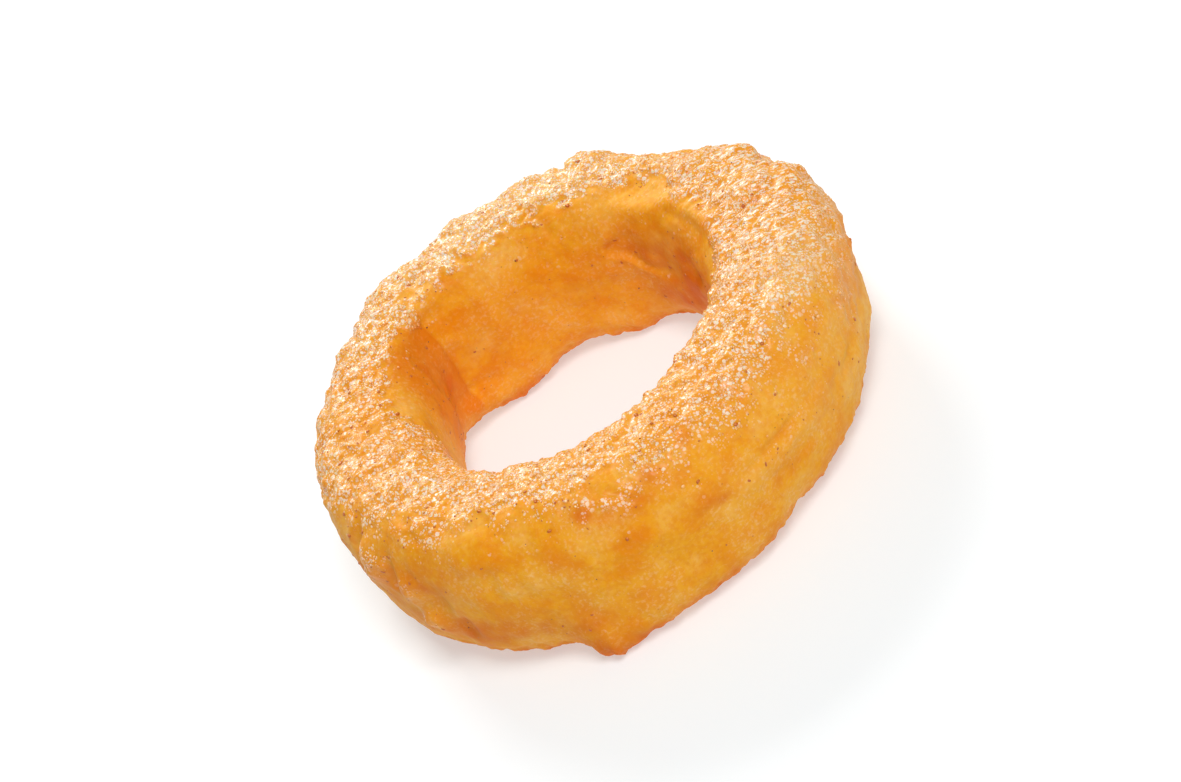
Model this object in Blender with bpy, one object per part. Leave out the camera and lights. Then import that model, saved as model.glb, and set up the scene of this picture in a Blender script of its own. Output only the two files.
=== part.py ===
"""A battered and deep-fried onion ring, lying flat on its lower rim.

Thick batter has puffed up around one wide slice of onion, so the ring is a fat closed
body: steep walls outside and in the hole, and broad rounded rims above and below.
Metres, +Z up. The origin is on the ground under the middle of the ring, and the side
with the drip of batter is towards -Y.

Angles round the ring are compass angles from +X towards +Y. Angles round the section
are 0 outwards, 90 up, 180 into the hole and 270 down.
"""

from collections import namedtuple
from math import atan2, cos, degrees, exp, floor, hypot, radians, sin, tau

import bmesh
import bpy
from mathutils import Matrix, Vector

MM = 0.001

# Driving dimensions
MID_RADIUS = 28.5 * MM  # from the middle of the hole to the middle of the batter
HALF_WALL = 8.5 * MM  # half the thickness between the outer wall and the hole
HALF_HEIGHT = 11.4 * MM  # half the height from rim to rim
SQUARENESS = 2.7  # power of the section's curve: 2 is an ellipse, and more is boxier
FOOT_DEPTH = 0.5 * MM  # how much of the lower rim the basket has pressed flat
STEPS_ROUND = 96
STEPS_SECTION = 40

# The slow unevenness of the ring at stations round it, in millimetres: how much further
# out the outer wall stands, how much further into the hole the inner wall stands, how
# much higher each rim stands, and how far the section leans outwards at the top
Station = namedtuple("Station", "angle outer inner rim lean")
STATIONS = (
    Station(0, 1.2, 0.5, 0.0, 1.3),
    Station(45, -0.4, 0.2, 0.0, 0.0),
    Station(90, -0.6, 0.2, 0.0, 0.0),
    Station(135, -0.6, -0.5, 0.0, 0.0),
    Station(180, 0.0, 0.4, -0.2, 0.0),
    Station(225, 0.5, 0.3, 0.0, 0.0),
    Station(270, 0.3, 0.9, 0.2, -0.4),
    Station(315, -0.3, 1.3, 0.0, -0.2),
)

# Lumps of puffed batter, and dents where the rise is negative. A lump sits at an angle
# round the ring and an angle round the section, spreads along the ring and across it,
# and rises from the surface, in millimetres
Lump = namedtuple("Lump", "name angle section along across rise")
LUMPS = (
    Lump("drip of batter", 246, 322, 2.4, 2.8, 3.2),
    Lump("swelling beside the drip", 254, 318, 7.0, 6.0, 1.4),
    Lump("lower ridge of the near wall", 280, 322, 16.0, 4.0, 0.3),
    Lump("groove along the near wall", 268, 354, 20.0, 2.2, -0.6),
    Lump("flat right of the near wall", 296, 315, 6.0, 6.0, -1.0),
    Lump("flat on the left side", 187, 338, 3.5, 5.0, -0.6),
    Lump("left knob", 166, 8, 2.4, 3.0, 1.0),
    Lump("far left shoulder", 120, 52, 3.6, 5.0, 1.2),
    Lump("knob on the far rim", 94, 52, 3.0, 4.0, 0.4),
    Lump("swelling of the far rim", 60, 52, 4.0, 5.0, 0.6),
    Lump("dip in the far rim", 44, 55, 4.5, 5.0, -1.2),
    Lump("notch before the right shoulder", 13, 50, 2.4, 4.0, -0.6),
    Lump("right shoulder", 0, 20, 4.0, 6.0, 0.4),
    Lump("right knob", 344, 345, 2.4, 3.0, 0.6),
    Lump("bulge low in the hole, right", 63, 235, 4.0, 5.0, 1.5),
    Lump("bulge low in the hole, left", 106, 235, 3.5, 4.0, 1.3),
    Lump("hollow between the two bulges", 80, 235, 3.0, 4.0, -0.5),
    Lump("hollow low in the hole", 130, 228, 6.5, 7.0, -2.2),
    Lump("left corner of the hole", 133, 185, 1.8, 8.0, -0.9),
    Lump("right corner of the hole", 47, 185, 2.2, 7.0, -0.7),
)


def signed_power(value, power):
    return abs(value) ** power * (1 if value > 0 else -1)


def station_values(angle):
    """The changes at this angle, on a smooth closed curve through the stations."""
    count = len(STATIONS)
    place = (angle % 360) / 360 * count
    first = floor(place) % count
    part = place - floor(place)
    a, b, c, d = (STATIONS[(first + step) % count][1:] for step in (-1, 0, 1, 2))
    return [
        q + 0.5 * part * (r - p + part * (2 * p - 5 * q + 4 * r - s + part * (3 * (q - r) + s - p)))
        for p, q, r, s in zip(a, b, c, d)
    ]


def section_point(angle, section):
    """The plain section at a ring angle: distance from the axis, height and normal."""
    outer, inner, rim, lean = (value * MM for value in station_values(angle))
    half_wall = HALF_WALL + (outer + inner) / 2
    half_height = HALF_HEIGHT + rim
    turn = radians(section)
    across = half_wall * signed_power(cos(turn), 2 / SQUARENESS)
    up = half_height * signed_power(sin(turn), 2 / SQUARENESS)
    normal = Vector((
        signed_power(across / half_wall, SQUARENESS - 1) / half_wall,
        signed_power(up / half_height, SQUARENESS - 1) / half_height,
    )).normalized()
    radius = MID_RADIUS + (outer - inner) / 2 + across + lean * up / half_height
    return radius, up, normal


def turn_between(first, second):
    """The shorter turn between two angles, in degrees, with its sign."""
    return (first - second + 180) % 360 - 180


def lump_rise(angle, section, radius, up):
    """How far the lumps push the surface out at a place on the plain ring."""
    total = 0.0
    for lump in LUMPS:
        lump_radius, lump_up, _ = section_point(lump.angle, lump.section)
        along = radians(turn_between(angle, lump.angle)) * radius
        across = hypot(radius - lump_radius, up - lump_up)
        spread = (along / lump.along) ** 2 + (across / lump.across) ** 2
        total += lump.rise * exp(-spread / MM**2)
    return total * MM


def shaped(place):
    """Where a point of the plain round tube goes on the uneven ring."""
    angle = degrees(atan2(place.y, place.x))
    section = degrees(atan2(place.z, hypot(place.x, place.y) - MID_RADIUS))
    radius, up, normal = section_point(angle, section)
    rise = lump_rise(angle, section, radius, up)
    radius += normal.x * rise
    height = up + normal.y * rise + HALF_HEIGHT - FOOT_DEPTH
    turn = radians(angle)
    return Vector((radius * cos(turn), radius * sin(turn), max(height, 0.0)))


def footprint_middle(bm):
    """The middle of the box the ring fills, seen from above."""
    xs = [vert.co.x for vert in bm.verts]
    ys = [vert.co.y for vert in bm.verts]
    return Vector(((min(xs) + max(xs)) / 2, (min(ys) + max(ys)) / 2, 0))


def ring_mesh():
    """A round tube spun into a ring, then shaped point by point, on z = 0."""
    bm = bmesh.new()
    lift = Matrix.Translation((MID_RADIUS, 0, 0)) @ Matrix.Rotation(radians(90), 4, "X")
    bmesh.ops.create_circle(bm, segments=STEPS_SECTION, radius=HALF_WALL, matrix=lift)
    bmesh.ops.spin(
        bm,
        geom=bm.verts[:] + bm.edges[:],
        cent=(0, 0, 0),
        axis=(0, 0, 1),
        angle=tau,
        steps=STEPS_ROUND,
        use_merge=True,
    )
    for vert in bm.verts:
        vert.co = shaped(vert.co)
    bmesh.ops.translate(bm, verts=bm.verts[:], vec=-footprint_middle(bm))
    bmesh.ops.recalc_face_normals(bm, faces=bm.faces[:])
    mesh = bpy.data.meshes.new("onion_ring")
    bm.to_mesh(mesh)
    bm.free()
    mesh.shade_smooth()
    return mesh


def crust_material():
    material = bpy.data.materials.new("golden_crust")
    material.use_nodes = True
    shader = material.node_tree.nodes["Principled BSDF"]
    shader.inputs["Base Color"].default_value = (0.75, 0.34, 0.07, 1)
    shader.inputs["Roughness"].default_value = 0.5
    shader.inputs["Metallic"].default_value = 0.0
    return material


for old in list(bpy.data.objects):
    bpy.data.objects.remove(old)

ring = bpy.data.objects.new("onion_ring", ring_mesh())
ring.data.materials.append(crust_material())
bpy.context.scene.collection.objects.link(ring)
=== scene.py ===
# %% [markdown]
# # A battered onion ring
#
# The real thing is one slice of onion, dipped in thick batter and dropped into hot oil.
# The batter puffs, browns and sets into a golden crust, smooth on the walls and sandy on
# the rims. This lesson starts from the plain solid ring of the construction model, gives
# it a fine skin, works the crust into that skin, sprinkles it with loose crumbs, and
# lights it on a pale table.

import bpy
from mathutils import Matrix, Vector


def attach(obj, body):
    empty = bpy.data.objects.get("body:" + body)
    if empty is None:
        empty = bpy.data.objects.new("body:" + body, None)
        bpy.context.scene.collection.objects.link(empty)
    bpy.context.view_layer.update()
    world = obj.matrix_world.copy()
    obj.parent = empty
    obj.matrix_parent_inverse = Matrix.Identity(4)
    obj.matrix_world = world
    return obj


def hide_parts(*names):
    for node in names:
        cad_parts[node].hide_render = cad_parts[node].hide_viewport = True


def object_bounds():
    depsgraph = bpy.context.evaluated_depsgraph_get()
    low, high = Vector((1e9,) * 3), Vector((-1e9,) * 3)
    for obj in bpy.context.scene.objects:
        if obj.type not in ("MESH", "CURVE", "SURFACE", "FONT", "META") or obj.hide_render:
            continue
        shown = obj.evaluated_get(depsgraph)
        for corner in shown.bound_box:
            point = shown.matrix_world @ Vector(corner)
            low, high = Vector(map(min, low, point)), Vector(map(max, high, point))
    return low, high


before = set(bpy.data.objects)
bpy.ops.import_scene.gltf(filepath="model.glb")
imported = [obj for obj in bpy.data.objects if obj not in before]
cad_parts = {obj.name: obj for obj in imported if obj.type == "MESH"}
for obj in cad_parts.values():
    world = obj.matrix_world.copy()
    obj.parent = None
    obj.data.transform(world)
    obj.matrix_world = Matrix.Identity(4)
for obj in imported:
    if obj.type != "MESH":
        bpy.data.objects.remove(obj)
cad_low, cad_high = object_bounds()
cad_size = [high - low for low, high in zip(cad_low, cad_high)]
print("construction model, mm:", [round(shaded_side * 1000, 1) for shaded_side in cad_size])

# %% [markdown]
# ## A tree of the solid to measure from
#
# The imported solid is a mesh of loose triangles, and it stays as it is. A copy of it is
# merged into one closed skin. From that copy a BVH tree is made: a sorted store of
# triangles that answers "where does this ray first hit?" very quickly. The fine skin is
# drawn onto the solid with such rays.

# %% Merge a copy of the solid and sort it into a tree
import bmesh
import bpy
from mathutils.bvhtree import BVHTree

MM = 0.001

solid = bmesh.new()
solid.from_mesh(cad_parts["onion_ring"].data)
bmesh.ops.remove_doubles(solid, verts=solid.verts[:], dist=0.001 * MM)
solid_tree = BVHTree.FromBMesh(solid)
print("solid copy:", len(solid.verts), "points,", len(solid.faces), "faces")

# %% [markdown]
# ## The fine skin
#
# A crust needs far more points than a solid for construction. The solid could be remeshed
# with small voxels, but a remesh leaves a grid that ignores the ring. A round tube spun
# into a ring gives an even grid that follows the batter both ways.

# %% Spin a fine tube
from math import radians, tau

from mathutils import Matrix

MID_RADIUS = 28.5 * MM
TUBE_RADIUS = 8 * MM
STEPS_ROUND = 620
STEPS_SECTION = 160

skin = bmesh.new()
upright = Matrix.Translation((MID_RADIUS, 0, 0)) @ Matrix.Rotation(radians(90), 4, "X")
bmesh.ops.create_circle(skin, segments=STEPS_SECTION, radius=TUBE_RADIUS, matrix=upright)
bmesh.ops.spin(
    skin,
    geom=skin.verts[:] + skin.edges[:],
    cent=(0, 0, 0),
    axis=(0, 0, 1),
    angle=tau,
    steps=STEPS_ROUND,
    use_merge=True,
)
print("fine skin:", len(skin.verts), "points,", len(skin.faces), "faces")

# %% [markdown]
# The grid's points are drawn outwards from the middle of the batter until they lie on
# the solid. The rays of each section crowd towards the upper rim, where the crust is
# roughest, and thin out underneath, where nothing shows.

# %% Draw the tube onto the solid
from math import atan2, cos, hypot, sin

from mathutils import Vector

MID_HEIGHT = 10.9 * MM
RING_AXIS = Vector((-0.9 * MM, 0.45 * MM, 0))
CROWDING = 0.45

for vert in skin.verts:
    around = atan2(vert.co.y, vert.co.x)
    section = atan2(vert.co.z, hypot(vert.co.x, vert.co.y) - MID_RADIUS)
    section += CROWDING * cos(section)
    outwards = Vector((cos(around), sin(around), 0))
    start = RING_AXIS + outwards * MID_RADIUS + Vector((0, 0, MID_HEIGHT))
    hit = solid_tree.ray_cast(start, outwards * cos(section) + Vector((0, 0, sin(section))))
    vert.co = hit[0]
bmesh.ops.recalc_face_normals(skin, faces=skin.faces[:])
print("skin volume, cm3:", round(skin.calc_volume() * 1e6, 1))

# %% [markdown]
# ## Softening the facets
#
# The solid is faceted, and the skin has copied its facets. Batter has none, so the skin
# is relaxed: each point moves halfway to the middle of its neighbours, a few times over.
# The flat foot goes back onto the ground afterwards.

# %% Relax the skin
RELAXING_PASSES = 14

foot = [vert for vert in skin.verts if vert.co.z < 0.02 * MM]
for _ in range(RELAXING_PASSES):
    bmesh.ops.smooth_vert(
        skin, verts=skin.verts[:], factor=0.5, use_axis_x=True, use_axis_y=True, use_axis_z=True
    )
for vert in foot:
    vert.co.z = 0.0
print("points on the ground:", len(foot))

# %% [markdown]
# ## Finding one's way on the ring
#
# Every mark on the crust has a place, given by two angles in degrees. The first goes
# round the ring: 0 is right, 90 far, 180 left and 270 near. The second goes round the
# section: 0 points outwards, 90 up, 180 into the hole.
#
# A mark is a dab: a soft bell with a place, a width, a height and a strength. Dabs are
# summed, so a few of them make a fold, a patch of sand or a browned spot.

# %% Place, blend and dab
from collections import namedtuple
from math import degrees

Dab = namedtuple("Dab", "what around section wide tall rise")


def ring_place(co):
    flat = co - RING_AXIS
    around = degrees(atan2(flat.y, flat.x)) % 360
    section = degrees(atan2(co.z - MID_HEIGHT, hypot(flat.x, flat.y) - MID_RADIUS)) % 360
    return around, section


def blend(value, low, high):
    """0 below low, 1 above high and a smooth step between, like a soft threshold."""
    part = min(max((value - low) / (high - low), 0.0), 1.0)
    return part * part * (3 - 2 * part)


def turn_between(first, second):
    return (first - second + 180) % 360 - 180


def dabs_at(around, section, dabs):
    total = 0.0
    for dab in dabs:
        across = turn_between(around, dab.around) / dab.wide
        if abs(across) < 1:
            upwards = turn_between(section, dab.section) / dab.tall
            total += dab.rise * max(1 - across * across - upwards * upwards, 0.0) ** 2
    return total


# %% [markdown]
# ## The corner, the scoop and the folds
#
# The hole of this ring is not round. Its far left has a sharp upright corner, where two
# flat runs of batter meet. Its far right has a scooped hollow, and above that the rim
# dips into a smooth chute, where a blister stretched and burst. Scallops and knobs break
# the far rim, and folds cross the left shoulder, where batter ran and wrinkled.
#
# The corner and the scoop move points straight away from the hole. The rest are dabs, and
# move points along the normals of the skin.

# %% List the folds
FOLDS = [
    Dab("chute in the rim", 40, 104, 15, 20, -1.3 * MM),
    Dab("lip over the hole", 13, 112, 24, 9, 0.7 * MM),
    Dab("lip over the hole", 348, 113, 20, 9, 0.5 * MM),
    Dab("pit beside the lip", 14, 160, 9, 18, -0.5 * MM),
    Dab("crack across the rim", 358, 80, 2.5, 14, -0.5 * MM),
    Dab("layer behind the crack", 4, 78, 6, 20, 0.4 * MM),
    Dab("blister on the near rim", 228, 52, 12, 18, 0.6 * MM),
    Dab("fold on the left shoulder", 194, 44, 3.0, 22, -0.7 * MM),
    Dab("bulge on the left shoulder", 199, 36, 4.0, 26, 0.6 * MM),
    Dab("fold on the left shoulder", 205, 30, 3.0, 26, -0.8 * MM),
    Dab("bulge on the left wall", 209, 20, 4.0, 26, 0.7 * MM),
    Dab("fold on the left wall", 216, 12, 3.0, 24, -0.6 * MM),
    Dab("bulge low on the left", 212, 348, 4.5, 20, 0.7 * MM),
    Dab("notch low on the left", 219, 344, 3.0, 20, -0.7 * MM),
    Dab("fold on the near wall", 231, 28, 2.5, 18, -0.3 * MM),
    Dab("step along the near wall", 297, 19, 17, 5, -0.20 * MM),
    Dab("ridge under the step", 297, 6, 22, 13, 0.30 * MM),
    Dab("step on the right wall", 322, 352, 9, 8, -0.25 * MM),
    Dab("scallop of the far rim", 113, 62, 7, 30, 0.55 * MM),
    Dab("notch in the far rim", 102, 62, 3.0, 30, -0.5 * MM),
    Dab("scallop of the far rim", 95, 62, 6, 30, 0.45 * MM),
    Dab("scallop of the far rim", 77, 62, 7, 30, 0.4 * MM),
    Dab("notch in the far rim", 66, 62, 3.0, 30, -0.5 * MM),
    Dab("scallop of the far rim", 59, 64, 6, 30, 0.5 * MM),
    Dab("dip before the knob", 32, 62, 6, 30, -0.8 * MM),
    Dab("knob on the right shoulder", 20, 55, 3.5, 18, 0.7 * MM),
    Dab("knob on the right shoulder", 6, 45, 4.5, 18, 0.5 * MM),
    Dab("knob on the right wall", 348, 20, 3.0, 16, 0.5 * MM),
    Dab("browned blister", 271, 60, 3.0, 9, 0.2 * MM),
    Dab("browned blister", 254, 60, 3.0, 8, 0.2 * MM),
    Dab("browned blister", 281, 68, 2.5, 8, 0.2 * MM),
    Dab("browned blister", 276, 22, 3.0, 8, 0.2 * MM),
    Dab("browned blister", 261, 32, 4.0, 9, 0.2 * MM),
]
print("folds listed:", len(FOLDS))

# %% Sink the corner and the scoop, and raise the folds
from mathutils import noise

noise.seed_set(7)

CORNER_AROUND = 123
CORNER_REACH = 18
CORNER_DEPTH = 2.7 * MM
SCOOP_AROUND = 32
SCOOP_SECTION = 151
SCOOP_WIDE = 20
SCOOP_TALL = 37
SCOOP_DEPTH = 0.8 * MM


def patchy(co, size, offset=0.0):
    """Smooth noise between about -1 and 1, with patches of the given size."""
    return noise.noise(Vector((co.x / size + offset, co.y / size, co.z / size)))


def corner_depth(around, section):
    reach = abs(turn_between(around, CORNER_AROUND)) / CORNER_REACH
    below_rim = blend(section, 106, 128) * blend(section, 236, 205)
    return CORNER_DEPTH * max(1 - reach, 0.0) * below_rim


def scoop_depth(around, section, waver):
    across = turn_between(around, SCOOP_AROUND + 5 * waver) / SCOOP_WIDE
    upwards = (section - SCOOP_SECTION) / SCOOP_TALL
    softness = 0.10 + 0.8 * blend(section, 150, 112) + 0.6 * blend(section, 165, 190)
    inside = blend(1 - hypot(across, upwards) + 0.12 * waver, 0.0, softness)
    return SCOOP_DEPTH * inside * blend(across, -1.0, 0.9)


def fold_move(vert):
    around, section = ring_place(vert.co)
    turn = radians(around)
    from_hole = Vector((cos(turn), sin(turn), 0))
    waver = patchy(vert.co, 4.5 * MM, 3.7)
    sunk = corner_depth(around, section) + scoop_depth(around, section, waver)
    return from_hole * sunk + vert.normal * dabs_at(around, section, FOLDS)


skin.normal_update()
moves = [fold_move(vert) for vert in skin.verts]
for vert, move in zip(skin.verts, moves):
    vert.co += move
print("deepest fold move, mm:", round(max(move.length for move in moves) * 1000, 2))

# %% [markdown]
# ## Where the crust is sandy
#
# The rims dried into a sandy, glistening crust, while the walls stayed smooth. Each
# station below tells how far the sand reaches down the outside and into the hole. The
# borders wander with noise, because no real crust has a ruled edge. The numbers are kept
# for every point, for the shape here and as an attribute for the materials.

# %% List how far the sand reaches
SandStation = namedtuple("SandStation", "around outer inner")
SAND_STATIONS = [
    SandStation(0, 15, 113),
    SandStation(20, 35, 107),
    SandStation(42, 62, 90),
    SandStation(60, 48, 112),
    SandStation(90, 45, 110),
    SandStation(130, 35, 110),
    SandStation(150, 28, 109),
    SandStation(165, 32, 124),
    SandStation(176, 44, 170),
    SandStation(200, 66, 170),
    SandStation(230, 68, 160),
    SandStation(270, 56, 150),
    SandStation(300, 50, 150),
    SandStation(328, 48, 140),
    SandStation(345, 14, 122),
]
SAND_PATCHES = [
    Dab("sand on the left shoulder", 200, 38, 7, 22, 0.9),
    Dab("sand low on the left", 208, 18, 6, 20, 0.7),
    Dab("sand in a fold", 196, 20, 5, 24, 0.5),
    Dab("sand low on the left", 211, 350, 4, 16, 0.6),
    Dab("sand on the right shoulder", 335, 18, 14, 34, 0.9),
    Dab("sand on the right rim", 328, 62, 18, 26, 0.4),
    Dab("sand on the right wall", 318, 40, 12, 20, 0.4),
    Dab("dust on the right wall", 306, 8, 30, 26, 0.28),
    Dab("dust low on the right wall", 322, 345, 20, 18, 0.25),
    Dab("glassy spot on the right rim", 314, 50, 6, 11, -0.8),
    Dab("glassy spot on the far rim", 118, 98, 6, 14, -0.9),
    Dab("glassy spot on the near rim", 262, 74, 9, 8, -0.8),
    Dab("glassy spot on the near rim", 232, 76, 8, 9, -0.5),
    Dab("thin sand on the left rim", 170, 88, 34, 44, -0.35),
    Dab("thin sand on the near rim", 272, 90, 48, 60, -0.25),
    Dab("crumbs under the near rim", 262, 58, 7, 10, 0.8),
]
print("stations:", len(SAND_STATIONS), "patches:", len(SAND_PATCHES))

# %% Work out how sandy each point is
import numpy as np

whole_turn = range(360)
station_angles = [station.around for station in SAND_STATIONS]
outer_edges = np.interp(
    whole_turn, station_angles, [station.outer for station in SAND_STATIONS], period=360
)
inner_edges = np.interp(
    whole_turn, station_angles, [station.inner for station in SAND_STATIONS], period=360
)

# How far the borders of the sand stray, in degrees of section.
BROAD_WANDER = 18
FINE_WANDER = 16
FINGERS = 16


def sandiness(co):
    around, section = ring_place(co)
    wander = BROAD_WANDER * patchy(co, 6 * MM, 3.1) + FINE_WANDER * patchy(co, 2.2 * MM, 8.2)
    fingers = FINGERS * patchy(co, 1.3 * MM, 2.9)
    outer_edge = outer_edges[int(around)] + wander
    inner_edge = inner_edges[int(around)] + 0.4 * wander + fingers
    above_outer = blend(turn_between(section, outer_edge), -18, 22)
    above_inner = blend(turn_between(inner_edge, section), -3, 4)
    patches = dabs_at(around, section, SAND_PATCHES) * (1 + patchy(co, 1.6 * MM, 5.5))
    return min(max(above_outer * above_inner + patches, 0.0), 1.0)


sandy = [sandiness(vert.co) for vert in skin.verts]
print("sandy share of the skin:", round(sum(sandy) / len(sandy), 2))

# %% [markdown]
# ## Relief
#
# Unevenness is pushed into the skin along its normals, the broad first. Soft puffs,
# where steam lifted the batter, go everywhere. On the rims come billows: the size of
# noise without its sign, which gives rounded lumps with sharp valleys, like froth. The
# sand itself is a layer with some thickness, and the foot is crumbly where the batter
# tore off the pan.

# %% Push puffs, billows and knobs into the skin
PUFF = 0.34 * MM
BILLOW = 0.42 * MM
KNOB = 0.34 * MM
CRUMBLE = 0.50 * MM
SAND_LAYER = 0.22 * MM


def billow(co, size, offset=0.0):
    """Rounded lumps with sharp valleys between them, from 0 to about 1."""
    return abs(patchy(co, size, offset)) * 1.6


def crumbly_foot(co):
    return blend(co.z, 5 * MM, 1.5 * MM)


def broad_relief(co, sand):
    puff = patchy(co, 7 * MM) + 0.5 * patchy(co, 3.2 * MM, 4.4)
    lumps = billow(co, 3.8 * MM, 1.9) + 0.3 * billow(co, 1.8 * MM, 7.3) - 0.4
    knobs = patchy(co, 2.3 * MM, 1.3) + 0.3 * patchy(co, 1.1 * MM, 8.8)
    crumbly = 0.18 + 0.82 * max(0.8 * sand, crumbly_foot(co))
    return (
        PUFF * puff
        + BILLOW * lumps * (0.25 + 0.75 * sand)
        + KNOB * knobs * (0.45 + 0.55 * sand)
        + CRUMBLE * patchy(co, 1.4 * MM, 5.1) * crumbly
        + SAND_LAYER * sand
    )


def push_out(relief):
    """Move every point along its normal, less and less towards the ground."""
    skin.normal_update()
    moves = [vert.normal * relief(vert.co, sand) for vert, sand in zip(skin.verts, sandy)]
    for vert, move in zip(skin.verts, moves):
        vert.co += move * blend(vert.co.z, -0.2 * MM, 0.6 * MM)
        vert.co.z = max(vert.co.z, 0.0)
    print("largest move, mm:", round(max(move.length for move in moves) * 1000, 2))


push_out(broad_relief)

# %% [markdown]
# The smallest shapes come last. Grains are single round crumbs stuck in the crust: in
# Voronoi noise each scattered point owns a cell, and a grain stands on the point, high
# or low by the luck of its cell. On the right rim the batter ran before it set, so thin
# strands lie across it. Strands are noise squeezed in one direction only.

# %% Push grains and strands into the skin
GRAIN = 0.14 * MM
GRIT = 0.15 * MM
STRAND = 0.12 * MM


def grain(co, size):
    """A round grain on each scattered point, of a height that differs from cell to cell."""
    distances, centres = noise.voronoi(co / size)
    luck = noise.cell(centres[0] * 9.7)
    return blend(1 - distances[0] / 0.75, 0.0, 1.0) * luck


def streakiness(around, section):
    right_end = max(1 - abs(turn_between(around, 2)) / 40, 0.0)
    return blend(right_end, 0.0, 0.5) * blend(section, 25, 55) * blend(section, 128, 112)


def strand(co):
    """Wavy ridges that run from the hole outwards."""
    flat = co - RING_AXIS
    radius = hypot(flat.x, flat.y)
    length = atan2(flat.y, flat.x) * MID_RADIUS + 0.6 * MM * patchy(co, 2.4 * MM, 9.9)
    ridge = noise.noise(Vector((radius / (2.6 * MM), length / (0.75 * MM), co.z / (3 * MM))))
    return 1 - abs(ridge) * 3


def fine_relief(co, sand):
    if co.z < 0.1 * MM:
        return 0.0
    streak = streakiness(*ring_place(co))
    rough_here = 0.4 + 0.6 * max(sand, crumbly_foot(co))
    grains = GRAIN * (0.2 + 0.8 * sand) * (grain(co, 0.85 * MM) - 0.2)
    grit = GRIT * rough_here * patchy(co, 0.65 * MM, 3.3)
    return (grains + grit) * (1 - 0.5 * streak) + STRAND * streak * strand(co)


push_out(fine_relief)

# %% [markdown]
# ## Where the crust is toasted and shaded
#
# Batter browns where it is thin or touched the hot pan: along the foot, on the drip and
# here and there in a patch. It is also darker in the crack across the rim and under the
# near rim. In the hole, in its scoop, its corner and the run left of the corner, and on the
# left shoulder, the same darker colour is painted shade. This becomes an attribute, like
# the sand.

# %% List the toasted patches
TOAST_AND_SHADE_PATCHES = [
    Dab("drip", 246, 328, 9, 34, 0.5),
    # Painted shade: the next three dabs darken the scoop and the right of the hole.
    Dab("scoop in the hole", 40, 150, 18, 36, 0.6),
    Dab("right of the hole", 14, 160, 24, 50, 0.8),
    Dab("low in the right of the hole", 25, 200, 38, 44, 0.75),
    Dab("browned blister", 271, 60, 4.0, 11, 0.9),
    Dab("browned blister", 254, 60, 4.0, 10, 0.9),
    Dab("browned blister", 281, 68, 3.0, 10, 0.8),
    Dab("browned blister", 276, 22, 4.0, 10, 0.4),
    Dab("browned blister", 280, 15, 3.0, 8, 0.3),
    Dab("browned blister", 261, 32, 6.0, 12, 0.35),
    Dab("browned blister", 297, 18, 4.0, 8, 0.4),
    # Painted shade: the next two dabs darken the folds and the left edge of the shoulder.
    Dab("folds on the left shoulder", 212, 24, 20, 40, 0.5),
    Dab("left shoulder", 192, 18, 22, 40, 0.4),
    Dab("left rim", 176, 84, 34, 56, 0.2),
    Dab("foot of the near left", 218, 338, 36, 30, 0.75),
    # Painted shade in the corner of the hole.
    Dab("corner of the hole", 131, 175, 4, 60, 0.2),
    Dab("crack across the rim", 358, 80, 3.5, 14, 0.8),
    Dab("under the near rim", 262, 52, 12, 14, 0.55),
    Dab("wall below the near rim", 278, 22, 12, 20, 0.3),
    Dab("right shoulder", 342, 14, 16, 34, 0.4),
    Dab("right edge", 6, 28, 26, 34, 0.35),
]
print("toasted patches:", len(TOAST_AND_SHADE_PATCHES))

# %% Work out how toasted each point is
LEFT_RUN_SHADE = 0.7
CLOUD_TOAST = 0.30


def left_run(around, section):
    """The run of batter left of the corner of the hole is darker all over, as painted shade."""
    past_corner = turn_between(around, CORNER_AROUND)
    run = blend(past_corner, -0.6, 0.8) * blend(past_corner, 40, 14)
    return LEFT_RUN_SHADE * run * blend(section, 104, 118) * blend(section, 250, 225)


def toast_and_shade_at(co, sand):
    around, section = ring_place(co)
    near_ground = blend(co.z, 4.6 * MM, 0.2 * MM) * (0.85 + 0.6 * patchy(co, 3 * MM, 2.7))
    cloud = patchy(co, 5 * MM, 6.1) + 0.5 * patchy(co, 1.8 * MM, 7.7)
    clouds = CLOUD_TOAST * blend(cloud, 0.1, 0.9)
    marked = dabs_at(around, section, TOAST_AND_SHADE_PATCHES) * (1 + 0.7 * patchy(co, 2 * MM, 4.1))
    all_marks = near_ground + clouds * (1 - 0.5 * sand) + marked + left_run(around, section)
    return min(max(all_marks, 0.0), 1.0)


toast_and_shade = [toast_and_shade_at(vert.co, sand) for vert, sand in zip(skin.verts, sandy)]
print("toasted share of the skin:", round(sum(toast_and_shade) / len(toast_and_shade), 2))

# %% [markdown]
# On the far rim, and on the crest of the right rim, the sand is as fine and thick as
# powder, so little amber shows through. It is also paler there as painted light from the
# softbox behind the ring.

# %% Work out how powdery and backlit the sand is
POWDER_AND_BACKLIGHT_PATCHES = [
    Dab("far rim", 84, 88, 66, 64, 1.0),
    Dab("right rim", 330, 62, 24, 34, 0.8),
]
powder_and_backlight = [
    sand * dabs_at(*ring_place(vert.co), POWDER_AND_BACKLIGHT_PATCHES) for vert, sand in zip(skin.verts, sandy)
]
print("powdery share of the skin:", round(sum(powder_and_backlight) / len(powder_and_backlight), 2))

# %% [markdown]
# ## The crust as an object
#
# The finished skin becomes a mesh that stands for the solid ring and rides on its body.
# Sand, powder with painted backlight, toast with painted shade, and streaks go with it as
# attributes: one number for each point, which a material can read anywhere on the surface.

# %% Make the crust a mesh


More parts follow.
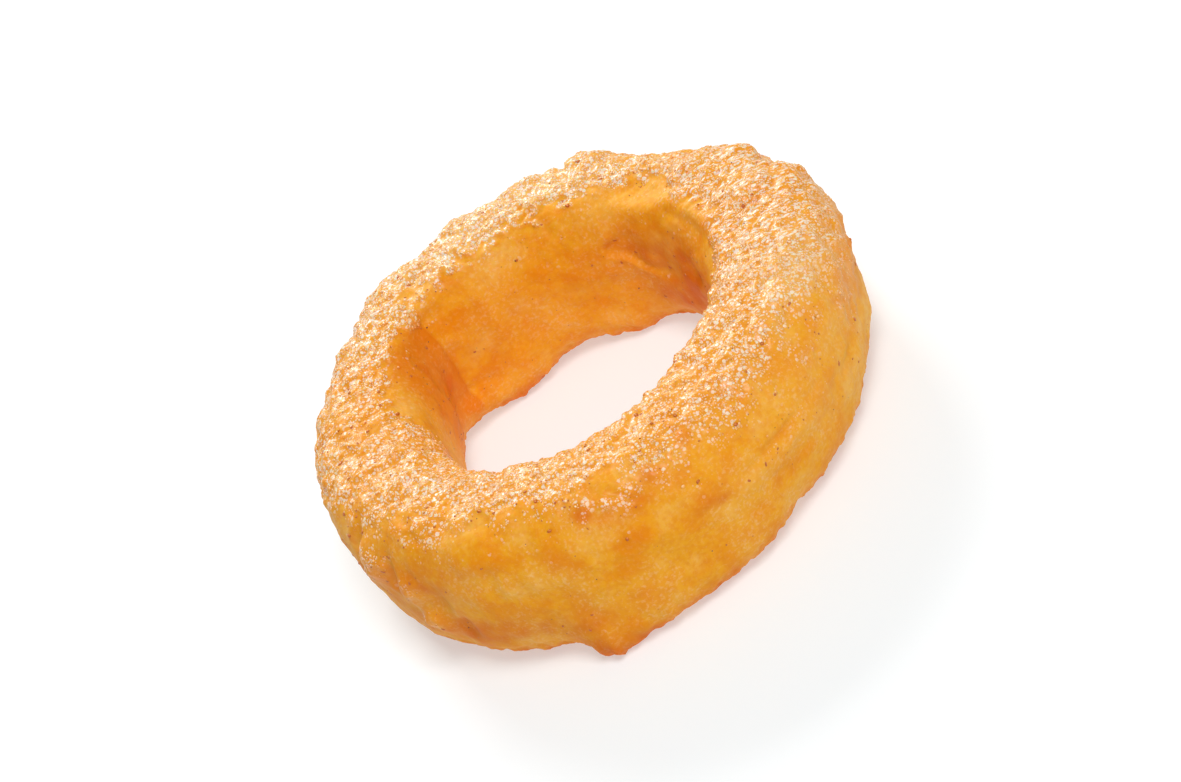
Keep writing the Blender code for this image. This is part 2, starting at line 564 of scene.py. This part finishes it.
def new_piece(name, shape):
    """Turn a finished shape into an object that replaces the solid and rides on its body."""
    mesh = bpy.data.meshes.new(name)
    shape.to_mesh(mesh)
    mesh.shade_smooth()
    piece = bpy.data.objects.new(name, mesh)
    bpy.context.scene.collection.objects.link(piece)
    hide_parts("onion_ring")
    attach(piece, "root")
    print(name + ":", sum(len(face.vertices) - 2 for face in mesh.polygons), "triangles")
    return piece


crust = new_piece("crust", skin)
streaky = [streakiness(*ring_place(vert.co)) for vert in skin.verts]
point_masks = {"sandy": sandy, "powder_and_backlight": powder_and_backlight, "toast_and_shade": toast_and_shade, "streaky": streaky}
for name, values in point_masks.items():
    layer = crust.data.attributes.new(name, "FLOAT", "POINT")
    layer.data.foreach_set("value", np.array(values, dtype=np.float32))
print("attributes:", list(point_masks))

# %% [markdown]
# ## Loose crumbs
#
# Bits of dried batter, toasted bits and dark flecks stick to the crust. They could be
# painted, but in the outline of the rims they stand out, so they are real shapes: one
# 20-sided pebble, doubled again and again, then laid down one by one, each turned,
# stretched and dented by chance. Where they may lie is weighed by sand and by the mask of
# toast and painted shade.

# %% Heap up equal pebbles and lay them on the crust
from random import Random

chance = Random(11)
PEBBLE_POINTS = 12
PEBBLE_FACES = 20


def pebble_heap(count):
    """A heap of equal pebbles, made by doubling one pebble until there are enough."""
    heap = bmesh.new()
    bmesh.ops.create_icosphere(heap, subdivisions=1, radius=1.0)
    made = 1
    while made < count:
        more = min(made, count - made)
        verts = heap.verts[:][: more * PEBBLE_POINTS]
        faces = heap.faces[:][: more * PEBBLE_FACES]
        bmesh.ops.duplicate(heap, geom=verts + faces)
        made += more
    return heap


def sprinkle(name, count, weights, small, large, flatness):
    """Lay pebbles between small and large in radius on the crust, most of them small."""
    heap = pebble_heap(count)
    verts = heap.verts[:]
    for number, spot in enumerate(chance.choices(skin.verts[:], weights=weights, k=count)):
        size = small * (large / small) ** (chance.random() ** 2)
        lie = spot.normal.to_track_quat("Z", "Y").to_matrix()
        spin = Matrix.Rotation(chance.uniform(0, tau), 3, "Z")
        stretch = Matrix.Diagonal((chance.uniform(0.8, 1.5), chance.uniform(0.7, 1.1), flatness))
        turn = lie @ spin @ stretch
        for vert in verts[number * PEBBLE_POINTS : (number + 1) * PEBBLE_POINTS]:
            vert.co = spot.co + turn @ (vert.co * size * chance.uniform(0.75, 1.2))
            vert.co.z = max(vert.co.z, 0.0)
    return new_piece(name, heap)


skin.normal_update()
above = [blend(vert.co.z, 2 * MM, 5 * MM) for vert in skin.verts]
sandy_spots = [sand**2 * high for sand, high in zip(sandy, above)]
browned_spots = [
    (0.03 + 0.3 * toast + sand * (1 - sand)) * high
    for sand, toast, high in zip(sandy, toast_and_shade, above)
]
pale_crumbs = sprinkle(
    "pale_crumbs",
    count=9500,
    weights=sandy_spots,
    small=0.08 * MM,
    large=0.27 * MM,
    flatness=0.42,
)
toasted_crumbs = sprinkle(
    "toasted_crumbs",
    count=600,
    weights=browned_spots,
    small=0.08 * MM,
    large=0.32 * MM,
    flatness=0.5,
)
dark_flecks = sprinkle(
    "dark_flecks",
    count=170,
    weights=above,
    small=0.06 * MM,
    large=0.14 * MM,
    flatness=0.5,
)

# %% [markdown]
# ## Materials: wiring nodes in code
#
# A material is a sheet of nodes joined by wires. A few small helpers keep the code as
# short as the idea: put a node down and fill its inputs, with a plain value or with
# another node's output. Everything is a pattern in space on Object coordinates, so it
# has no seams, and its scale is in features per metre.

# %% Wiring helpers


class Sheet:
    """A node tree being wired, with one helper for each kind of node that is needed."""

    def __init__(self, tree):
        self.tree = tree

    def join(self, value, socket):
        if isinstance(value, bpy.types.NodeSocket):
            self.tree.links.new(value, socket)
        else:
            socket.default_value = value

    def fill(self, node, inputs):
        for name, value in inputs.items():
            self.join(value, node.inputs[name.replace("_", " ")])
        return node

    def put(self, kind, **inputs):
        return self.fill(self.tree.nodes.new("ShaderNode" + kind), inputs)

    def math(self, operation, *values):
        node = self.put("Math")
        node.operation = operation
        for value, socket in zip(values, node.inputs):
            self.join(value, socket)
        return node.outputs["Value"]

    def times(self, first, second):
        return self.math("MULTIPLY", first, second)

    def rise(self, value, low, high):
        """Low where the value is 0, high where it is 1, in a straight line."""
        return self.math("MULTIPLY_ADD", value, high - low, low)

    def mix(self, factor, first, second):
        node = self.tree.nodes.new("ShaderNodeMix")
        node.data_type = "RGBA"
        self.fill(node, {"Factor": factor, "A": first, "B": second})
        return node.outputs["Result"]

    def ramp(self, value, low, high):
        """0 at low, 1 at high, and a smooth step between."""
        node = self.put("MapRange", Value=value)
        node.interpolation_type = "SMOOTHSTEP"
        self.fill(node, {"From Min": low, "From Max": high})
        return node.outputs["Result"]

    def noise(self, place, scale, detail):
        return self.put("TexNoise", Vector=place, Scale=scale, Detail=detail).outputs["Fac"]

    def group(self, tree, **inputs):
        node = self.tree.nodes.new("ShaderNodeGroup")
        node.node_tree = tree
        return self.fill(node, inputs).outputs


# %% [markdown]
# ## Three effects that the materials share
#
# The crust and its crumbs are the same fried batter, so they share their effects. Each
# effect is a node group: a sheet of its own with named sockets, built once and placed in
# every material with its own values.

# %% Helper for a node group
SOCKET_KINDS = {
    "number": "NodeSocketFloat",
    "colour": "NodeSocketColor",
    "vector": "NodeSocketVector",
}


def new_group(name, inputs, outputs):
    """A node group with named sockets. Gives its sheet, what comes in and what goes out."""
    tree = bpy.data.node_groups.new(name, "ShaderNodeTree")
    for direction, sockets in (("INPUT", inputs), ("OUTPUT", outputs)):
        for socket, kind in sockets.items():
            tree.interface.new_socket(socket, in_out=direction, socket_type=SOCKET_KINDS[kind])
    coming_in = tree.nodes.new("NodeGroupInput").outputs
    going_out = tree.nodes.new("NodeGroupOutput").inputs
    return Sheet(tree), coming_in, going_out


# %% [markdown]
# Frying never browns evenly. The first effect mixes a deep, a golden and a pale colour
# by cloudy noise, and darkens fine pores.

# %% Group: frying clouds
sheet, given, result = new_group(
    "frying_clouds",
    {
        "Place": "vector",
        "Cloud Scale": "number",
        "Pore Scale": "number",
        "Deep": "colour",
        "Golden": "colour",
        "Pale": "colour",
        "Pore": "colour",
    },
    {"Colour": "colour"},
)
cloud = sheet.noise(given["Place"], given["Cloud Scale"], detail=5)
colour = sheet.mix(sheet.ramp(cloud, 0.36, 0.52), given["Deep"], given["Golden"])
colour = sheet.mix(sheet.ramp(cloud, 0.52, 0.70), colour, given["Pale"])
pores = sheet.ramp(sheet.noise(given["Place"], given["Pore Scale"], detail=4), 0.60, 0.35)
colour = sheet.mix(sheet.times(pores, 0.35), colour, given["Pore"])
sheet.join(colour, result["Colour"])
frying_clouds = sheet.tree
print("frying clouds:", len(frying_clouds.nodes), "nodes")

# %% [markdown]
# Sand on the crust is single pale grains. In a Voronoi texture each scattered point owns
# a cell. Near the point lies a grain, if the cell's own random colour says so. A little
# noise bends the cells, so that the grains are not round.

# %% Group: sand grains
BEND = 0.22 * MM

sheet, given, result = new_group(
    "sand_grains",
    {"Place": "vector", "Scale": "number", "Plenty": "number"},
    {"Grains": "number"},
)
bent = sheet.put("VectorMath")
bent.operation = "MULTIPLY_ADD"
wobble = sheet.put("TexNoise", Vector=given["Place"], Scale=1700, Detail=2.0)
sheet.join(wobble.outputs["Color"], bent.inputs[0])
sheet.join((BEND, BEND, BEND), bent.inputs[1])
sheet.join(given["Place"], bent.inputs[2])
cells = sheet.put("TexVoronoi", Vector=bent.outputs["Vector"], Scale=given["Scale"])
luck = sheet.put("SeparateColor", Color=cells.outputs["Color"]).outputs
chosen = sheet.ramp(sheet.math("SUBTRACT", given["Plenty"], luck["Red"]), -0.08, 0.12)
reach = sheet.rise(luck["Green"], 0.30, 0.55)
near_point = sheet.ramp(sheet.math("SUBTRACT", reach, cells.outputs["Distance"]), 0.0, 0.12)
sheet.join(sheet.times(chosen, near_point), result["Grains"])
sand_grains = sheet.tree
print("sand grains:", len(sand_grains.nodes), "nodes")

# %% [markdown]
# Between the grains the surface is finely gritty. The third effect gives grit as a
# height for bump and as a mask for pale dust.

# %% Group: fine grit
sheet, given, result = new_group(
    "fine_grit", {"Place": "vector", "Scale": "number"}, {"Height": "number", "Dust": "number"}
)
height = sheet.noise(given["Place"], given["Scale"], detail=4)
sheet.join(height, result["Height"])
sheet.join(sheet.ramp(height, 0.46, 0.74), result["Dust"])
fine_grit = sheet.tree
print("fine grit:", len(fine_grit.nodes), "nodes")

# %% [markdown]
# ## The golden crust
#
# From the inside out: amber batter with frying clouds, browned where it is toasted and
# darkened the same way where shade is painted, a breath of pale dust, and the sand on
# top. On the right rim the grains are drawn out into dashes, by squeezing the pattern's
# space across the ring. Batter lets light in a little way, which the subsurface does: red
# goes deepest, so thin edges glow. Oil on the sand glistens, which a thin coat does.

# %% Crust: amber and brown


def colour_of(red, green, blue):
    return (red, green, blue, 1.0)


def new_material(name):
    """A material, its sheet, its shader and its Object coordinates."""
    material = bpy.data.materials.new(name)
    material.use_nodes = True
    sheet = Sheet(material.node_tree)
    shader = material.node_tree.nodes["Principled BSDF"]
    return material, sheet, shader, sheet.put("TexCoord").outputs["Object"]


golden, sheet, shader, place = new_material("golden_crust")
mask = {}
for name in point_masks:
    node = sheet.put("Attribute")
    node.attribute_name = name
    mask[name] = node.outputs["Fac"]

amber = sheet.group(
    frying_clouds,
    Place=place,
    Cloud_Scale=200,
    Pore_Scale=1400,
    Deep=colour_of(0.85, 0.31, 0.004),
    Golden=colour_of(0.88, 0.385, 0.010),
    Pale=colour_of(0.91, 0.47, 0.065),
    Pore=colour_of(0.80, 0.24, 0.004),
)["Colour"]
# The brown follows the toast and shade mask: real browning, and painted shade in the hole, its
# corner and on the left shoulder.
browned = sheet.mix(mask["toast_and_shade"], amber, colour_of(0.74, 0.17, 0.003))
print("crust masks:", list(mask))

# %% [markdown]
# Pale dust lies on the walls in wide patches, and so does a faint paler bloom. The sand
# has three sizes of grains: coarse, fine and dashes. Another patchy noise decides where
# they are plenty.

# %% Crust: dust, bloom and sand
grit = sheet.group(fine_grit, Place=place, Scale=2300)
spread = sheet.ramp(sheet.noise(place, scale=150, detail=3), 0.38, 0.62)
bloom = sheet.times(spread, sheet.rise(mask["toast_and_shade"], 0.25, 0.0))
bloomed = sheet.mix(bloom, browned, colour_of(0.93, 0.48, 0.08))
dust = sheet.times(grit["Dust"], sheet.rise(spread, 0.12, 0.42))
dust = sheet.times(dust, sheet.rise(mask["toast_and_shade"], 1.0, 0.3))
dusty = sheet.mix(dust, bloomed, colour_of(0.96, 0.65, 0.31))
bed = sheet.mix(sheet.times(mask["sandy"], 0.6), dusty, colour_of(0.88, 0.34, 0.02))
# Paler on the powdery far and right rims: partly thicker sand, partly painted light from the
# softbox behind.
bed = sheet.mix(sheet.times(mask["powder_and_backlight"], 0.6), bed, colour_of(0.97, 0.56, 0.17))

patches = sheet.rise(sheet.noise(place, scale=420, detail=3), -0.95, 0.85)
plenty = sheet.math("MULTIPLY_ADD", mask["sandy"], 0.85, patches)
plenty = sheet.math("MULTIPLY_ADD", mask["streaky"], 0.18, plenty)
plenty = sheet.math("MULTIPLY_ADD", mask["powder_and_backlight"], 0.35, plenty)
squeezed = sheet.put("Mapping", Vector=place, Scale=(0.38, 1.0, 0.7)).outputs["Vector"]
coarse = sheet.group(sand_grains, Place=place, Scale=1700, Plenty=plenty)["Grains"]
fine = sheet.group(sand_grains, Place=place, Scale=2900, Plenty=plenty)["Grains"]
dashes = sheet.group(sand_grains, Place=squeezed, Scale=2300, Plenty=plenty)["Grains"]
larger = sheet.put("Mix", Factor=mask["streaky"], A=coarse, B=dashes).outputs["Result"]
grains = sheet.math("MAXIMUM", larger, sheet.times(fine, 0.8))
print("crust colour:", len(golden.node_tree.nodes), "nodes")

# %% [markdown]
# The bump is worked out before the grains are coloured, because the pale colour is
# painted only on the upper side of a grain, as painted light from above. Its lower side
# takes the amber of the batter around it, as painted shade.

# %% Crust: bump, painted lit tops of the grains, gloss and depth
height = sheet.math("MULTIPLY_ADD", grains, 0.4, grit["Height"])
height = sheet.times(height, sheet.rise(mask["sandy"], 0.25, 1.0))
bump = sheet.put("Bump", Strength=1.0, Distance=0.07 * MM, Height=height)
sheet.join(bump.outputs["Normal"], shader.inputs["Normal"])
# Pale grains are painted only where the bumped surface faces up towards the lamps: painted light on
# their tops and painted shade below.
upwards = sheet.put("SeparateXYZ", Vector=bump.outputs["Normal"]).outputs["Z"]
lit_grain_tops = sheet.times(grains, sheet.ramp(upwards, 0.05, 0.65))
pale_where_lit = sheet.times(lit_grain_tops, sheet.rise(mask["sandy"], 0.35, 0.95))
sheet.join(sheet.mix(pale_where_lit, bed, colour_of(1.0, 0.82, 0.65)), shader.inputs["Base Color"])
sheet.join(sheet.rise(grains, 0.52, 0.40), shader.inputs["Roughness"])
sheet.join(sheet.times(mask["sandy"], 0.45), shader.inputs["Coat Weight"])
sheet.fill(
    shader,
    {
        "Specular IOR Level": 0.12,
        "Subsurface Weight": 0.6,
        "Subsurface Radius": (1.0, 0.55, 0.25),
        "Subsurface Scale": 1.1 * MM,
        "Coat Roughness": 0.24,
    },
)
crust.data.materials.append(golden)
print("golden crust:", len(golden.node_tree.nodes), "nodes")

# %% [markdown]
# ## The crumbs' materials
#
# Crumbs are the same batter in other states: dried pale, toasted, or burnt to a fleck.
# One recipe makes all three from the shared effects, with other colours. Each crumb is
# small, so the cloud scale is fine enough that neighbours differ.

# %% Recipe for a crumb material


def crumb_material(name, shaded_side, deep, golden, pale, gloss):
    """Fried batter in one state, from three colours, a painted-shade colour for its sides and the
    strength of its oily coat.
    """
    material, sheet, shader, place = new_material(name)
    clouds = sheet.group(
        frying_clouds,
        Place=place,
        Cloud_Scale=900,
        Pore_Scale=6000,
        Deep=deep,
        Golden=golden,
        Pale=pale,
        Pore=deep,
    )["Colour"]
    grit = sheet.group(fine_grit, Place=place, Scale=5200)
    # Faces that look up take the clouded colours, as painted light from above; faces that look
    # sideways or down take the side colour, as painted shade.
    facing = sheet.put("NewGeometry").outputs["Normal"]
    upwards = sheet.put("SeparateXYZ", Vector=facing).outputs["Z"]
    lit_topped = sheet.mix(sheet.ramp(upwards, 0.35, 0.95), shaded_side, clouds)
    sheet.join(sheet.mix(sheet.times(grit["Dust"], 0.3), lit_topped, pale), shader.inputs["Base Color"])
    sheet.join(sheet.rise(grit["Height"], 0.45, 0.25), shader.inputs["Roughness"])
    bump = sheet.put("Bump", Strength=0.5, Distance=0.03 * MM, Height=grit["Height"])
    sheet.join(bump.outputs["Normal"], shader.inputs["Normal"])
    sheet.fill(shader, {"Coat Weight": gloss, "Coat Roughness": 0.18})
    print(name + ":", len(material.node_tree.nodes), "nodes")
    return material


# %% Finish the crumbs
pale_crumbs.data.materials.append(
    crumb_material(
        "pale_crumb",
        shaded_side=colour_of(0.98, 0.42, 0.06),
        deep=colour_of(1.0, 0.53, 0.20),
        golden=colour_of(1.0, 0.66, 0.36),
        pale=colour_of(1.0, 0.83, 0.64),
        gloss=0.35,
    )
)
toasted_crumbs.data.materials.append(
    crumb_material(
        "toasted_crumb",
        shaded_side=colour_of(0.60, 0.13, 0.005),
        deep=colour_of(0.56, 0.13, 0.01),
        golden=colour_of(0.66, 0.19, 0.015),
        pale=colour_of(0.76, 0.28, 0.04),
        gloss=0.3,
    )
)
dark_flecks.data.materials.append(
    crumb_material(
        "dark_fleck",
        shaded_side=colour_of(0.22, 0.03, 0.005),
        deep=colour_of(0.22, 0.035, 0.008),
        golden=colour_of(0.30, 0.05, 0.01),
        pale=colour_of(0.42, 0.09, 0.015),
        gloss=0.2,
    )
)

# %% [markdown]
# ## The table
#
# The ring lies on a plain white table. A little light of its own, added to the table,
# keeps the shadow soft and pale, as many large lamps in a studio would. Far from the
# lamps the table shines a little more, so that it meets the pale room without an edge.

# %% White table top
TABLE_HALF = 3.0
BELOW_GROUND = 0.1 * MM
SHINES_NEAR = 0.455
SHINES_FAR = 0.70
FAR_FROM = 0.35
FAR_TO = 1.1

flat = bmesh.new()
bmesh.ops.create_grid(flat, x_segments=1, y_segments=1, size=TABLE_HALF)
bmesh.ops.translate(flat, verts=flat.verts[:], vec=(0, 0, -BELOW_GROUND))
table_mesh = bpy.data.meshes.new("table_top")
flat.to_mesh(table_mesh)
table = bpy.data.objects.new("table_top", table_mesh)
bpy.context.scene.collection.objects.link(table)

white, sheet, shader, place = new_material("white_table")
distance = sheet.put("VectorMath", Vector=place)
distance.operation = "LENGTH"
far_off = sheet.ramp(distance.outputs["Value"], FAR_FROM, FAR_TO)
sheet.join(sheet.rise(far_off, SHINES_NEAR, SHINES_FAR), shader.inputs["Emission Strength"])
sheet.fill(
    shader,
    {
        "Base Color": colour_of(0.53, 0.545, 0.555),
        "Roughness": 0.6,
        "Emission Color": colour_of(0.97, 1.0, 1.0),
    },
)
table_mesh.materials.append(white)
print("table, m:", TABLE_HALF * 2)

# %% [markdown]
# ## Light
#
# A white room gives soft light from all sides. A large softbox high in front shapes the
# walls, and a second one low behind the ring catches the sandy rims. A softbox's power
# is worked out from how bright its face is, so its size can change without changing its
# brightness. The room looks paler than it shines, so that low views have no dark wall.
# Colours are shown plainly, without a film look.

# %% White room
ROOM_SHINES = 0.28
ROOM_LOOKS = 0.85

world = bpy.data.worlds.new("studio")
bpy.context.scene.world = world
world.use_nodes = True
sheet = Sheet(world.node_tree)
seen = sheet.put("LightPath").outputs["Is Camera Ray"]
room = world.node_tree.nodes["Background"]
sheet.join(colour_of(1.0, 1.0, 1.0), room.inputs["Color"])
sheet.join(sheet.rise(seen, ROOM_SHINES, ROOM_LOOKS), room.inputs["Strength"])
bpy.context.scene.view_settings.view_transform = "Standard"
print("room brightness:", ROOM_SHINES)

# %% Two softboxes
from math import pi


def softbox(name, place, size, brightness):
    """A rectangular lamp that faces the ring."""
    data = bpy.data.lights.new(name, "AREA")
    data.shape = "RECTANGLE"
    data.size, data.size_y = size
    data.energy = brightness * pi * size[0] * size[1]
    lamp = bpy.data.objects.new(name, data)
    lamp.location = place
    towards_ring = Vector((0, 0, 10 * MM)) - Vector(place)
    lamp.rotation_euler = towards_ring.to_track_quat("-Z", "Y").to_euler()
    bpy.context.scene.collection.objects.link(lamp)
    print(name + ", watts:", round(data.energy, 2))


softbox("key_softbox", place=(0.12, -0.34, 0.70), size=(0.32, 0.32), brightness=12.5)
softbox("back_softbox", place=(-0.04, 0.68, 0.42), size=(0.36, 0.20), brightness=15.0)

# %% [markdown]
# ## Camera
#
# The camera looks down at the ring from the front, and is rolled, so that the ring seems
# to lean. A long lens from far away keeps the near rim from swelling.

# %% Camera
EYE_DISTANCE = 0.672
EYE_ELEVATION = radians(36.7)
EYE_ROLL = radians(33.8)
LENS = 160

camera_data = bpy.data.cameras.new("camera")
camera_data.lens = LENS
camera_data.clip_start = 0.01
camera = bpy.data.objects.new("camera", camera_data)
ring_middle = RING_AXIS + Vector((0, 0, MID_HEIGHT))
back = Vector((0, -cos(EYE_ELEVATION), sin(EYE_ELEVATION)))
looking = (-back).to_track_quat("-Z", "Y").to_matrix().to_4x4()
rolled = looking @ Matrix.Rotation(-EYE_ROLL, 4, "Z")
camera.matrix_world = Matrix.Translation(ring_middle + back * EYE_DISTANCE) @ rolled
bpy.context.scene.collection.objects.link(camera)
bpy.context.scene.camera = camera
print("camera, mm:", [round(part * 1000) for part in camera.matrix_world.translation])
